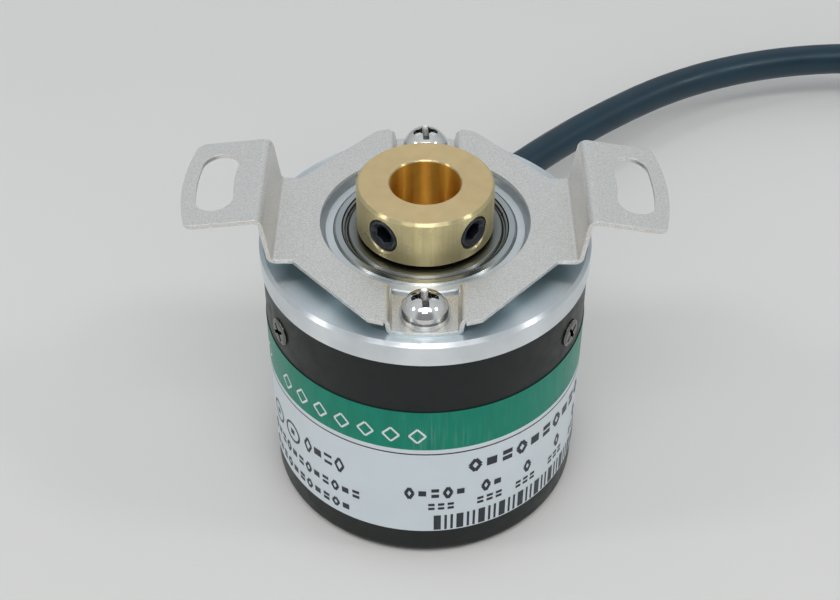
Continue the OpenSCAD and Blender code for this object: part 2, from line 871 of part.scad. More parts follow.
module cable_grommet() {
  bead_t = 0.9;
  bead_start = 16;
  lip_t = 0.8;
  color([0.07, 0.07, 0.08])
    exit_frame(cable_z)
      rotate([0, 90, 0])
        difference() {
          union() {
            cylinder(r = grommet_r, h = housing_r + 1);
            translate([0, 0, bead_start]) cylinder(r = grommet_r + 0.2, h = bead_t);
            translate([0, 0, housing_r + fit]) cylinder(r = grommet_r + 0.4, h = lip_t);
          }
          translate([0, 0, -1]) cylinder(r = cable_r, h = 30);
          translate([0, 0, -1]) cylinder(r = 5, h = bead_start + 1);
        }
}

module cable_clamp() {
  clamp_x = 12.4;
  clamp_w = 2.2;
  lug = [2.6, 3.2, 2];
  color([0.15, 0.15, 0.16])
    exit_frame(cable_z)
      difference() {
        union() {
          translate([clamp_x, 0, 0]) along_x(3.3, clamp_w);
          translate([clamp_x - 0.2, -lug[1] / 2, 2.6]) cube(lug);
        }
        translate([10, 0, 0]) along_x(cable_r, 8);
      }
}

// Straight run from a start distance to the body exit, then the bends outside.
function cable_path(start, extra = 0) =
  concat([[body_exit - start]], outside, extra > 0 ? [[extra]] : []);

module cable_jacket() {
  color([0.08, 0.1, 0.14])
    exit_frame(cable_z)
      translate([jacket_start, 0, 0])
        line(cable_path(jacket_start), cable_r, jacket_bore_r);
}

module cable_shield() {
  color([0.7, 0.66, 0.6])
    exit_frame(cable_z)
      translate([shield_start, 0, 0]) line(cable_path(shield_start, tail_bare), shield_ro, shield_ri);
}

// One conductor: lane picks its pin, (oy, oz) its place in the cable.
module conductor(lane, oy, oz, r) {
  plug_shift = shift_steps(fan_end - fan_start, oy - lane * plug_pitch, cable_z + oz - plug_z);
  tail_shift = shift_steps(tail_fan, lane * tail_pitch - oy, -oz);
  in_cable = concat([[body_exit - fan_end], [oy, oz]], outside, [[tail_bare + 1], [-oy, -oz]]);
  exit_frame(plug_z)
    translate([fan_start, lane * plug_pitch, 0])
      line(concat(plug_shift, in_cable, tail_shift, [[wire_end]]), r);
}

// Frame at the far end of the jacket.
module tail_frame() {
  exit_frame(cable_z) translate([body_exit, 0, 0]) follow(outside) children();
}

// Carry children to the end of a path of bends.
module follow(path, i = 0) {
  if (i < len(path))
    carry(path[i]) follow(path, i + 1) children();
  else
    children();
}

module wire_red() color([0.75, 0.08, 0.06]) conductor(2, wire_pos, wire_pos, wire_r);
module wire_black() color([0.05, 0.05, 0.05]) conductor(1, wire_pos, -wire_pos, wire_r);
module wire_green() color([0.05, 0.5, 0.2]) conductor(-1, -wire_pos, -wire_pos, wire_r);
module wire_white() color([0.9, 0.9, 0.88]) conductor(-2, -wire_pos, wire_pos, wire_r);
module drain_wire() color([0.72, 0.7, 0.66]) conductor(0, 0, 0, drain_r);

module wire_tips() {
  color([0.8, 0.78, 0.72])
    tail_frame()
      for (lane = [-2, -1, 1, 2])
        translate([tail_bare + 1 + tail_fan + wire_end, lane * tail_pitch, 0]) along_x(0.3, tip_l);
}

// ---- rotor ---------------------------------------------------------------

module hollow_shaft() {
  bore_r = bore_d / 2;
  bore_end = collar_top - bore_depth;
  bore_lead = 0.15;                   // chamfer at the mouth of the bore
  collar_r = collar_d / 2;
  collar_edge = 0.3;                  // chamfer round the collar's face
  collar_foot = 1.15;
  shoulder_r = 7.1;
  hole_r = set_screw_r + 0.04;
  hole_lead = 0.2;                    // countersink of the set screws' holes
  groove_end = ring_z - shaft_ring_t - 0.04;
  color([0.8, 0.66, 0.36])
    difference() {
      turned([
        [0, bore_end], [bore_r, bore_end], [bore_r, collar_top - bore_lead],
        [bore_r + bore_lead, collar_top],
        [collar_r - collar_edge, collar_top], [collar_r, collar_top - collar_edge],
        [collar_r, collar_foot + 0.2], [collar_r - 0.2, collar_foot],
        [shoulder_r, collar_foot], [shoulder_r, front_top], [brg_bore / 2, front_top],
        [brg_bore / 2, rear_bottom], [journal_r, rear_bottom],
        [journal_r, ring_z], [shaft_groove_r, ring_z],
        [shaft_groove_r, groove_end], [journal_r, groove_end],
        [journal_r, shaft_end + 0.2], [journal_r - 0.2, shaft_end], [0, shaft_end]
      ]);
      for (s = [-1, 1])
        at_angle(rotor_rest + s * set_screw_spread / 2, 0, set_screw_z) {
          along_x(hole_r, 12);
          translate([collar_r - hole_lead, 0, 0]) along_x(hole_r, 2 * hole_lead, hole_r + 2 * hole_lead);
        }
    }
}

module inner_spacer() {
  color([0.7, 0.7, 0.72]) ring(inner_land_r - 0.1, brg_bore / 2, rear_top, front_top - brg_w);
}

module disc_hub() {
  color([0.82, 0.83, 0.85])
    turned([
      [journal_r, hub_top], [sleeve_r, hub_top], [sleeve_r, hub_seat + hub_flange_h],
      [hub_r, hub_seat + hub_flange_h], [hub_r, hub_seat], [pilot_r, hub_seat],
      [pilot_r, disc_bottom], [journal_r, disc_bottom]
    ]);
}

module code_disc() {
  color([0.55, 0.6, 0.65]) ring(disc_d / 2, pilot_r, disc_bottom, hub_seat);
}

module disc_pressure_ring() {
  color([0.75, 0.76, 0.78]) ring(pressure_r, journal_r, ring_z, disc_bottom);
}

module shaft_retaining_ring() {
  color([0.3, 0.3, 0.32])
    difference() {
      ring(6.6, shaft_groove_r, ring_z - shaft_ring_t, ring_z);
      rotate([0, 0, 20]) translate([0, -1.2, -25]) cube([10, 2.4, 10]);
    }
}

// Socket set screw with a cup point, pointing inwards.
module set_screw(angle) {
  tip = 4.15;
  length = 3.5;
  point = 0.35;                       // length of the cup point's cone
  lead = 0.25;                        // chamfer at the socket end
  socket = 1.7;
  across = 2;
  sink = 0.35;                        // countersink of the socket's mouth
  color([0.08, 0.09, 0.11])
    at_angle(angle, tip, set_screw_z)
      difference() {
        union() {
          along_x(set_screw_r - point, point, set_screw_r);
          translate([point, 0, 0]) along_x(set_screw_r, length - point - lead);
          translate([length - lead, 0, 0]) along_x(set_screw_r, lead, set_screw_r - lead);
        }
        translate([-eps, 0, 0]) along_x(1.1, 0.5, 0);
        translate([length - socket, 0, 0])
          rotate([0, 90, 0]) cylinder(d = across / cos(30), h = 2, $fn = 6);
        translate([length - sink, 0, 0]) along_x(across / 2, sink + eps, set_screw_r - lead - 0.15);
      }
}

module set_screw_left() set_screw(rotor_rest - set_screw_spread / 2);
module set_screw_right() set_screw(rotor_rest + set_screw_spread / 2);

// ---- output --------------------------------------------------------------

flange();
housing();
label();
spring_plate();
plate_screws();
plate_lock_washers();
cover_screws();
front_outer_ring();
front_shields();
rear_outer_ring();
rear_shields();
preload_washer();
bearing_retaining_ring();
led_holder();
led_emitter();
led_leads();
circuit_board();
board_standoffs();
board_screws();
sensor_ic();
mask_plate();
driver_ic();
regulator();
filter_capacitor();
board_capacitors();
board_resistors();
header();
plug();
cable_grommet();
cable_clamp();
cable_jacket();
cable_shield();
wire_red();
wire_black();
wire_green();
wire_white();
drain_wire();
wire_tips();
hollow_shaft();
front_inner_ring();
rear_inner_ring();
inner_spacer();
disc_hub();
code_disc();
disc_pressure_ring();
shaft_retaining_ring();
set_screw_left();
set_screw_right();
front_balls();
front_cage();
rear_balls();
rear_cage();
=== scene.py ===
"""Looks of the rotary encoder: materials, the label's print, floor, light and camera."""
import json
import math

import bmesh
import bpy
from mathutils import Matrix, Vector


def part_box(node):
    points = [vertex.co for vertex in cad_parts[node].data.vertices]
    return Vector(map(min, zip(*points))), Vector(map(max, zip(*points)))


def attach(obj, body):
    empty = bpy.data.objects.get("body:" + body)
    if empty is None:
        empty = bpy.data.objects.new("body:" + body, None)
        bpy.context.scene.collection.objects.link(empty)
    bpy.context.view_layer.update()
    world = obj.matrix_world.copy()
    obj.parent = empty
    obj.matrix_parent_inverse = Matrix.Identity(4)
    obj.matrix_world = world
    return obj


MM = 0.001
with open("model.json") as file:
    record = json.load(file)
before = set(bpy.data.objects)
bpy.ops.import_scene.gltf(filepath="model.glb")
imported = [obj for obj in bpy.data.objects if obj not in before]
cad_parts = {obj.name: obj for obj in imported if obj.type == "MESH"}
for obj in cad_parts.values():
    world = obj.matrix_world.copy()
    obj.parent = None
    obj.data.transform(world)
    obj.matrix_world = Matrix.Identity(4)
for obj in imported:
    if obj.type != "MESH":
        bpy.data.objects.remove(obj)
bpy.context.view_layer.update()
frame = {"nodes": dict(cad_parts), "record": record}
nodes = frame["nodes"]

# ---- camera and light ----------------------------------------------------
CAMERA_DISTANCE = 160.7 * MM         # from the middle of the flange's face
CAMERA_ELEVATION = math.radians(38.99)
CAMERA_AIM = Vector((-0.6, 0, -10.5)) * MM
CAMERA_LENS = 60.14
FRONT = math.radians(-90)            # the side of the body that faces the camera

SKY_COLOUR = (0.90, 0.95, 1.0)
SKY_LOW = 0.46                       # at the horizon
SKY_HIGH = 0.64                      # overhead
SKY_FRONT = 1.2                      # share of that level on the camera's side
SKY_BACK = 0.8
VIEWER_ELEVATION = math.radians(32)  # middle of the dim patch of sky behind the camera
VIEWER_OUTER = math.cos(math.radians(48))        # where it starts
VIEWER_INNER = math.cos(math.radians(24))        # where it is at its darkest
VIEWER_SHADE = 0.4                   # share of the sky's light left there

# Lamps: name, place and size in metres, brightness, colour, seen in reflections, lights matt surfaces.
LAMPS = [
    ("left_box", (-0.45, -0.09, 0.42), (0.08, 0.08), 14.0, (1.0, 0.98, 0.95), True, True),
    ("right_box", (0.45, -0.09, 0.42), (0.08, 0.08), 14.0, (1.0, 0.98, 0.95), True, True),
    ("front_box", (0.0, -0.32, 0.68), (0.7, 0.14), 4.6, (0.98, 0.98, 1.0), True, True),
    ("front_shine", (0.0, -0.42, 0.6), (0.28, 0.12), 7.5, (1.0, 0.97, 0.93), True, False),
    ("front_fill", (0.0, -1.0, 0.55), (1.4, 0.5), 1.1, (1.0, 1.0, 1.0), False, True),
    ("back_panel", (0.0, 0.9, 0.75), (1.6, 0.9), 0.2, (0.88, 0.96, 1.0), True, False),
]

# ---- levels and radii, from the frame ------------------------------------
label_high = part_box("label")[1]
LABEL_R = label_high.x
LABEL_TOP = label_high.z
FLOOR_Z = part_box("housing")[0].z
FLOOR_SIZE = 6                       # metres
OPEN_FACE_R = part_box("flange")[1].x - 5 * MM     # the flange's face is in view outside this radius, and only there gets painted shade
BORE_R = 4.02 * MM                   # just outside the wall of the 8 mm bore

# ---- sizes and colours used by the materials --------------------------------
SOFT_EDGE = 0.06 * MM                # rounding of a machined edge
WORN_EDGE = 0.1 * MM                 # width of the bright line that handling leaves along an edge
WORN_PATCH = 1 * MM
FACE_Z = 0.9                         # a surface whose normal's Z is above this counts as a face
RINGS = 0.25                         # share of a turn that lays a stretched highlight across the rings
GREEN_INK = (0.001, 0.225, 0.145)
RULE_INK = (0.06, 0.045, 0.05)
DARK_INK = (0.03, 0.035, 0.045)
PALE_INK = (0.72, 0.78, 0.76)
FILM_EDGE_SHADE = (0.002, 0.05, 0.036)     # the cut top edge of the printed film, in dark green as painted shade
FILM_EDGE_H = 0.05 * MM
WEAVE_PITCH = 0.9 * MM               # of the cable's braid
LAMINATE_CELL = 1.6 * MM             # of the circuit board's track pattern
GRATING_PITCH = 0.12 * MM            # of the sensor's mask
TRACK_LINES = 600                    # dark lines on the code disc, between the two radii
TRACK_INNER = 10.6 * MM
TRACK_OUTER = 12.0 * MM

# ---- print on the label, in millimetres ------------------------------------
# Places on the film are given as `along` it from the front of the body and `drop` below its top edge.
PRINT_LIFT = 0.012 * MM              # thickness of one layer of ink
INK_STEP = 0.45                      # longest straight piece along the film
grommet_low, grommet_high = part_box("cable_grommet")
grommet = (grommet_low + grommet_high) / 2
EXIT_TURN = math.atan2(grommet.y, grommet.x) + FRONT     # how far the cable is off the exact back
FILM_HALF = LABEL_R / MM * math.radians(155)
FILM_MIDDLE = LABEL_R / MM * EXIT_TURN
FILM_START = FILM_MIDDLE - FILM_HALF
FILM_END = FILM_MIDDLE + FILM_HALF

BAND_H = 6.0                         # green band along the top edge
RULE_DROP = 6.65                     # thin line under the band
RULE_H = 0.2

DIAMOND_START = -0.8                 # the band's open diamonds run to the left from here
DIAMOND_PITCH = 3.0
DIAMOND_PLACES = (0, 1, 2, 3, 4, 5, 6, 8, 9, 10, 11, 12, 13)
DIAMOND_WIDE = 0.95                  # half sizes
DIAMOND_HIGH = 1.1
DIAMOND_DROP = 3.75                  # of their middles
DIAMOND_LINE = 0.26

RING_PLACES = (-22.6, -18.6)         # rings with a square dot
RING_R = 1.45
RING_DROP = 12.1
RING_LINE = 0.34
RING_SIDES = 24
DOT_HALF = 0.4

# Rows of symbols: left, right, top, height, pitch, line width.
ROWS = [
    (-16.2, -9.6, 10.3, 2.7, 1.65, 0.34),
    (-25.0, -7.4, 14.7, 2.0, 1.45, 0.36),
    (-25.0, -8.6, 17.7, 1.8, 1.45, 0.36),
    (4.9, 25.5, 8.2, 2.5, 2.05, 0.5),
]

# Short rows with dashes under them: left end, width, width of the dashes and their shift to the right.
WORDS = [
    (-2.5, 7.5, 3.4, 0.9),
    (6.6, 3.0, 3.6, 0),
    (12.4, 1.5, 3.3, 0),
    (18.0, 1.5, 3.3, 0),
    (23.6, 1.5, 3.3, 0),
]
WORD_TOP = 12.3
WORD_H = 2.3
WORD_PITCH = 1.5
WORD_LINE = 0.4
DASH_TOP = 15.1
DASH_H = 1.4
DASH_PITCH = 1.1

STRIPE_START = 1.1                   # plain stripes along the lower edge
STRIPE_END = 27
STRIPE_TOP = 17.4
STRIPE_BOTTOM = 20.0
STRIPE_WIDE = 0.85
STRIPE_NARROW = 0.3
STRIPE_GAP = 0.42


# ---- material helpers ----------------------------------------------------
class Nodes:
    """A node tree with short ways to add and join nodes."""

    def __init__(self, tree):
        self.tree = tree

    def add(self, kind, inputs=None, **settings):
        """Adds a node. Inputs are values or the sockets of other nodes."""
        node = self.tree.nodes.new(kind)
        for key, value in settings.items():
            setattr(node, key, value)
        for key, value in (inputs or {}).items():
            self.put(node.inputs[key], value)
        return node

    def put(self, socket, value):
        """Links another node's socket to this one, or sets a plain value."""
        if isinstance(value, bpy.types.NodeSocket):
            self.tree.links.new(value, socket)
        else:
            socket.default_value = value

    def math(self, operation, a, b=0.0, c=0.0):
        return self.add(
            "ShaderNodeMath", {0: a, 1: b, 2: c}, operation=operation
        ).outputs[0]

    def vector(self, operation, a, b=(0, 0, 0)):
        node = self.add("ShaderNodeVectorMath", {0: a, 1: b}, operation=operation)
        return node.outputs["Value" if operation in ("LENGTH", "DOT_PRODUCT") else "Vector"]

    def ramp(self, value, start, end, low, high, shape="LINEAR"):
        """Maps start to end on to low to high, and holds the ends."""
        inputs = {"Value": value, "From Min": start, "From Max": end, "To Min": low, "To Max": high}
        return self.add("ShaderNodeMapRange", inputs, interpolation_type=shape).outputs["Result"]


class Shader(Nodes):
    """A material with a Principled surface and a short way to add detail."""

    def __init__(self, name):
        self.material = bpy.data.materials.new(name)
        self.material.use_nodes = True
        super().__init__(self.material.node_tree)
        self.surface = self.tree.nodes["Principled BSDF"]
        self.place = self.add("ShaderNodeTexCoord").outputs["Object"]

    def set(self, **values):
        """Sets the surface's inputs: base_color -> Base Color, ior -> IOR."""
        for key, value in values.items():
            name = "IOR" if key == "ior" else key.replace("_", " ").title()
            self.put(self.surface.inputs[name], value)

    def noise(self, size, detail=3.0, at=None, stretch=(1, 1, 1)):
        """Noise between 0 and 1 whose features are about `size` metres across."""
        scaled = self.vector("MULTIPLY", at or self.place, stretch)
        inputs = {"Vector": scaled, "Scale": 1 / size, "Detail": detail}
        return self.add("ShaderNodeTexNoise", inputs).outputs["Fac"]

    def spread(self, value, low, high):
        """Maps noise from its usual 0.3 to 0.7 on to low to high."""
        return self.ramp(value, 0.3, 0.7, low, high)

    def blend(self, amount, a, b, how="MIX"):
        node = self.add("ShaderNodeMix", data_type="RGBA", blend_type=how)
        self.put(node.inputs["Factor"], amount)
        self.put(node.inputs[6], a)
        self.put(node.inputs[7], b)
        return node.outputs[2]

    def tint(self, colour, amount, size, stretch=(1, 1, 1)):
        """The colour, lighter and darker by `amount` in patches of `size`."""
        dark = rgba([c * (1 - amount) for c in colour])
        light = rgba([min(1, c * (1 + amount)) for c in colour])
        patches = self.spread(self.noise(size, stretch=stretch), 0.0, 1.0)
        return self.blend(patches, dark, light)

    def bump(self, height, depth, under=None):
        """Normal for a height of 0 to 1 that stands for `depth` metres."""
        inputs = {"Height": height, "Distance": depth, "Strength": 1.0}
        if under is not None:
            inputs["Normal"] = under
        return self.add("ShaderNodeBump", inputs).outputs["Normal"]

    def soft_edges(self, radius):
        """Normal that rounds sharp edges over `radius` metres."""
        return self.add("ShaderNodeBevel", {"Radius": radius}, samples=4).outputs["Normal"]

    def wear(self, radius, patch):
        """Near 1 along sharp edges and 0 elsewhere, broken up by patches."""
        flat = self.add("ShaderNodeNewGeometry").outputs["Normal"]
        turned_away = self.math("SUBTRACT", 1.0, self.vector("DOT_PRODUCT", self.soft_edges(radius), flat))
        patches = self.spread(self.noise(patch, detail=4.0), 1.0, 14.0)
        return self.clamp(self.math("MULTIPLY", turned_away, patches))

    def open_sky(self, reach, samples=6):
        """Share of the sky that nothing within `reach` covers."""
        return self.add("ShaderNodeAmbientOcclusion", {"Distance": reach}, samples=samples).outputs["AO"]

    def painted_shade(self, base, reach, dark):
        """Painted shade: the colour, darker by the share `dark` in recesses and corners narrower than
        `reach`.
        """
        level = self.ramp(self.open_sky(reach), 0.35, 0.9, 1 - dark, 1.0)
        grey = self.add("ShaderNodeCombineColor", {0: level, 1: level, 2: level}).outputs[0]
        return self.blend(1.0, base, grey, "MULTIPLY")

    def clamp(self, value):
        return self.add("ShaderNodeClamp", {"Value": value}).outputs["Result"]

    def about_axis(self):
        """(radius, turn in radians, height) about the shaft axis."""
        parts = self.add("ShaderNodeSeparateXYZ", {"Vector": self.place}).outputs
        flat = self.vector("MULTIPLY", self.place, (1, 1, 0))
        return self.vector("LENGTH", flat), self.math("ARCTAN2", parts[1], parts[0]), parts[2]

    def across_rings(self, stretch):
        """Stretches the highlights across rings about the shaft axis, by 0 to 1."""
        rings = self.add("ShaderNodeTangent", direction_type="RADIAL", axis="Z").outputs[0]
        self.set(anisotropic=stretch, anisotropic_rotation=RINGS, tangent=rings)

    def lathe_lines(self, width):
        """Noise that runs in rings about the shaft axis, as a turning tool leaves it."""
        radius, _, height = self.about_axis()
        at = self.add("ShaderNodeCombineXYZ", {"X": radius, "Y": 0.0, "Z": height}).outputs[0]
        return self.noise(width, detail=2.0, at=at)


def rgba(colour):
    """Opaque colour."""
    return (*colour, 1.0)


# ---- finishes -------------------------------------------------------------
def plain(name, colour, roughness, grain, depth, shade=0.12, metallic=0.0, edge=0.08,
          worn=None, painted_shade=0.0, **more):
    """Moulded, plated or painted surface with a fine grain, a patchy sheen and rubbed edges.

    `grain` and `depth` are in metres, and `edge` in millimetres."""
    s = Shader(name)
    base = s.tint(colour, shade, 30 * grain)
    if worn:
        base = s.blend(s.wear(2 * edge * MM, 8 * grain), base, rgba(worn))
    # painted shade: the colour is darkened in recesses and corners
    if painted_shade:
        base = s.painted_shade(base, 1.4 * MM, painted_shade)
    s.set(base_color=base, metallic=metallic, **more)
    s.set(roughness=s.spread(s.noise(12 * grain), roughness * 0.8, roughness * 1.2))
    s.set(normal=s.bump(s.noise(grain), depth, s.soft_edges(edge * MM)))
    return s.material


def turned(name, colour, roughness, line, depth, stretch=0.6, shade=0.05, painted_shade=0.0):
    """Metal turned on a lathe: rings of tool marks that stretch the highlights."""
    s = Shader(name)
    lines = s.lathe_lines(line)
    light = rgba([min(1, c * 1.2) for c in colour])
    base = s.blend(s.wear(WORN_EDGE, WORN_PATCH), s.tint(colour, shade, 3 * MM), light)
    # painted shade: the colour is darkened in recesses and corners
    if painted_shade:
        base = s.painted_shade(base, 1.2 * MM, painted_shade)
    s.set(base_color=base, metallic=1.0)
    s.set(roughness=s.spread(lines, roughness * 0.75, roughness * 1.25))
    s.across_rings(stretch)
    s.set(normal=s.bump(lines, depth, s.soft_edges(SOFT_EDGE)))
    return s.material


def turned_aluminium():
    """Bright turned metal with painted shade and a painted reflection of the plate: darker and bluer where
    another part hangs close over it.
    """
    s = Shader("turned_aluminium")
    lines = s.lathe_lines(0.09 * MM)
    outside = s.math("GREATER_THAN", s.about_axis()[0], OPEN_FACE_R)
    # painted shade and painted reflection of the plate's dark underside, on the open face near the plate
    shaded = s.math("MULTIPLY", s.ramp(s.open_sky(8 * MM), 0.55, 0.95, 1.0, 0.0), outside)
    base = s.blend(shaded, s.tint((0.84, 0.88, 0.90), 0.05, 3 * MM), rgba((0.40, 0.53, 0.59)))
    s.set(base_color=s.blend(s.wear(WORN_EDGE, WORN_PATCH), base, rgba((0.96, 0.98, 1.0))), metallic=1.0)
    s.set(roughness=s.spread(lines, 0.30, 0.40))
    s.across_rings(1.0)
    s.set(normal=s.bump(lines, 0.003 * MM, s.soft_edges(SOFT_EDGE)))
    return s.material


def turned_brass():
    """Matt tan face, brushed side with upright strokes and a reamed bore, a deeper orange than the brass as
    painted reflection of light bouncing inside it.
    """
    s = Shader("turned_brass")
    lines = s.lathe_lines(0.07 * MM)
    facing = s.add("ShaderNodeSeparateXYZ", {"Vector": s.add("ShaderNodeNewGeometry").outputs["Normal"]})
    face = s.math("GREATER_THAN", facing.outputs[2], FACE_Z)
    bore = s.math("LESS_THAN", s.about_axis()[0], BORE_R)
    strokes = s.noise(0.35 * MM, detail=4.0, stretch=(1, 1, 0.07))
    side = s.tint((0.77, 0.67, 0.385), 0.05, 2.5 * MM)
    side = s.blend(s.spread(strokes, 0.0, 0.5), side, rgba((0.62, 0.50, 0.22)))
    colour = s.blend(face, side, s.tint((0.80, 0.62, 0.34), 0.04, 1.5 * MM))
    # painted reflection: the bore is a deeper orange, for light that bounces many times inside it
    colour = s.blend(bore, colour, s.tint((1.0, 0.56, 0.09), 0.08, 1.5 * MM))
    bright = s.blend(s.wear(1.2 * WORN_EDGE, WORN_PATCH), colour, rgba((0.95, 0.86, 0.58)))
    s.set(base_color=bright, metallic=1.0)
    rough = s.math("MULTIPLY_ADD", strokes, 0.16, s.spread(lines, 0.20, 0.28))
    rough = s.math("MULTIPLY_ADD", face, 0.2, rough)
    s.set(roughness=s.math("MULTIPLY_ADD", bore, 0.05, rough))
    s.across_rings(s.math("MULTIPLY_ADD", face, -0.8, 1.0))
    pits = s.noise(0.08 * MM, detail=1.0)
    worn = s.bump(strokes, 0.0012 * MM, s.soft_edges(0.15 * MM))
    worn = s.bump(s.math("MULTIPLY", pits, face), 0.006 * MM, worn)
    s.set(normal=s.bump(lines, 0.0008 * MM, worn))
    return s.material


def bright_plate():
    """Bright nickel plate, rougher in the recess and under the head, where painted shade also darkens its
    colour.
    """
    s = Shader("nickel_screw")
    outside_painted_shade = s.ramp(s.open_sky(2.2 * MM, samples=8), 0.6, 0.95, 0.0, 1.0)
    # painted shade: dark colour in the recess and under the head
    base = s.blend(outside_painted_shade, rgba((0.10, 0.10, 0.095)), s.tint((0.86, 0.85, 0.82), 0.06, 1 * MM))
    base = s.blend(s.wear(0.8 * WORN_EDGE, WORN_PATCH), base, rgba((0.95, 0.95, 0.93)))
    s.set(base_color=base, metallic=1.0)
    s.set(roughness=s.math("MULTIPLY_ADD", outside_painted_shade, -0.3, s.spread(s.noise(2 * MM), 0.38, 0.44)))
    s.set(normal=s.bump(s.noise(0.3 * MM), 0.002 * MM, s.soft_edges(SOFT_EDGE)))
    return s.material


def rolled_steel():
    """Satin spring sheet with a fine even speckle, faint handling marks and bright sheared edges."""
    s = Shader("rolled_steel")
    speckle = s.noise(0.14 * MM, detail=3.0)
    marks = s.noise(1.6 * MM, detail=5.0, stretch=(1, 0.5, 1))
    base = s.blend(s.spread(speckle, 0.0, 1.0), rgba((0.66, 0.645, 0.615)), rgba((0.95, 0.925, 0.885)))
    base = s.blend(s.wear(1.6 * WORN_EDGE, WORN_PATCH), base, rgba((0.93, 0.93, 0.92)))
    s.set(base_color=base, metallic=1.0)
    s.set(roughness=s.spread(marks, 0.38, 0.5))
    s.set(normal=s.bump(speckle, 0.006 * MM, s.soft_edges(0.12 * MM)))
    return s.material


def label_film():
    """Pale satin film with the faint tooth of printed polyester; its cut top edge is dark green, painted
    shade for the thin shadow line above the green band.
    """
    s = Shader("label_film")
    # painted shade: the cut top edge is coloured dark green
    painted_shade_edge = s.math("GREATER_THAN", s.about_axis()[2], LABEL_TOP - FILM_EDGE_H)
    s.set(base_color=s.blend(painted_shade_edge, s.tint((0.67, 0.735, 0.77), 0.02, 6 * MM), rgba(FILM_EDGE_SHADE)))
    s.set(roughness=0.42, coat_weight=0.25, coat_roughness=0.3)
    s.set(normal=s.bump(s.noise(0.35 * MM, stretch=(1, 1, 0.25)), 0.004 * MM))
    return s.material


def ink(name, colour, roughness=0.32):
    """Printed ink: the film's tooth shows through, with thin and thick patches."""
    s = Shader(name)
    base = s.tint(colour, 0.08, 1.2 * MM, stretch=(1, 1, 0.3))
    rubbed = rgba([c + 0.25 * (0.6 - c) for c in colour])
    streaks = s.noise(0.3 * MM, detail=4.0, stretch=(1, 1, 0.05))
    patches = s.ramp(s.noise(9 * MM), 0.5, 0.75, 0.0, 1.0)
    scratched = s.math("MULTIPLY", s.ramp(streaks, 0.5, 0.8, 0.0, 1.0), patches)
    s.set(base_color=s.blend(scratched, base, rubbed), ior=1.3)
    s.set(roughness=s.spread(streaks, roughness * 0.85, roughness * 1.15))
    s.set(normal=s.bump(s.noise(0.35 * MM, stretch=(1, 1, 0.25)), 0.004 * MM))
    return s.material


def cable_sheath():
    """Extruded PVC: a slight orange peel and dull rubbed patches."""
    s = Shader("cable_sheath")
    peel = s.noise(0.6 * MM, detail=4.0)
    s.set(base_color=s.tint((0.003, 0.019, 0.034), 0.2, 8 * MM), specular_tint=rgba((0.7, 0.9, 1.0)), ior=1.6)
    s.set(roughness=s.spread(s.noise(5 * MM), 0.3, 0.44))
    s.set(normal=s.bump(peel, 0.012 * MM))
    return s.material


def woven_braid():
    """Two sets of slanting strands, with painted shade: light on top and dark in the gaps."""
    s = Shader("woven_braid")
    run = s.add("ShaderNodeSeparateXYZ", {"Vector": s.place}).outputs
    waves = 2 * math.pi / WEAVE_PITCH
    up = s.math("ADD", s.math("ADD", run[0], run[2]), run[1])
    down = s.math("SUBTRACT", s.math("SUBTRACT", run[0], run[2]), run[1])
    one = s.math("SINE", s.math("MULTIPLY", up, waves))
    two = s.math("SINE", s.math("MULTIPLY", down, waves))
    weave = s.math("MAXIMUM", one, two)
    # painted shade: the colour follows the strands' height
    s.set(base_color=s.blend(s.math("MULTIPLY_ADD", weave, 0.5, 0.5), rgba((0.2, 0.17, 0.14)),
                             rgba((0.72, 0.66, 0.6))))
    s.set(metallic=1.0, roughness=0.35, normal=s.bump(weave, 0.03 * MM))
    return s.material


def circuit_laminate():
    """Solder mask with raised tracks that run in short straight lengths."""
    s = Shader("circuit_laminate")
    cells = s.add("ShaderNodeTexVoronoi", {"Vector": s.place, "Scale": 1 / LAMINATE_CELL},
                  distance="MANHATTAN", feature="F2").outputs["Distance"]
    tracks = s.math("GREATER_THAN", s.math("FRACT", s.math("MULTIPLY", cells, 4.0)), 0.6)
    s.set(base_color=s.blend(tracks, rgba((0.012, 0.14, 0.06)), rgba((0.03, 0.27, 0.11))))
    s.set(roughness=0.28, coat_weight=0.6, coat_roughness=0.12, normal=s.bump(tracks, 0.02 * MM))
    return s.material


def graduated_glass():
    """Clear glass disc with a ring of fine dark radial lines near its edge."""
    s = Shader("graduated_glass")
    radius, turn, _ = s.about_axis()
    lines = s.math("GREATER_THAN", s.math("SINE", s.math("MULTIPLY", turn, TRACK_LINES)), 0.0)
    outside = s.math("GREATER_THAN", radius, TRACK_INNER)
    inside = s.math("LESS_THAN", radius, TRACK_OUTER)
    track = s.math("MULTIPLY", lines, s.math("MULTIPLY", outside, inside))
    s.set(base_color=s.blend(track, rgba((0.8, 0.88, 0.9)), rgba((0.05, 0.05, 0.06))))
    s.set(roughness=s.spread(s.noise(3 * MM), 0.03, 0.07))
    s.set(alpha=s.math("MULTIPLY_ADD", track, 0.55, 0.4), ior=1.5)
    return s.material


def grating_glass():
    """Small mask with a fine dark grating across it."""
    s = Shader("grating_glass")
    run = s.add("ShaderNodeSeparateXYZ", {"Vector": s.place}).outputs
    lines = s.math("SINE", s.math("MULTIPLY", run[1], 2 * math.pi / GRATING_PITCH))
    s.set(base_color=s.blend(s.math("GREATER_THAN", lines, 0.0), rgba((0.7, 0.78, 0.82)),
                             rgba((0.08, 0.08, 0.09))))
    s.set(roughness=s.spread(s.noise(1 * MM), 0.04, 0.1), alpha=0.7)
    return s.material


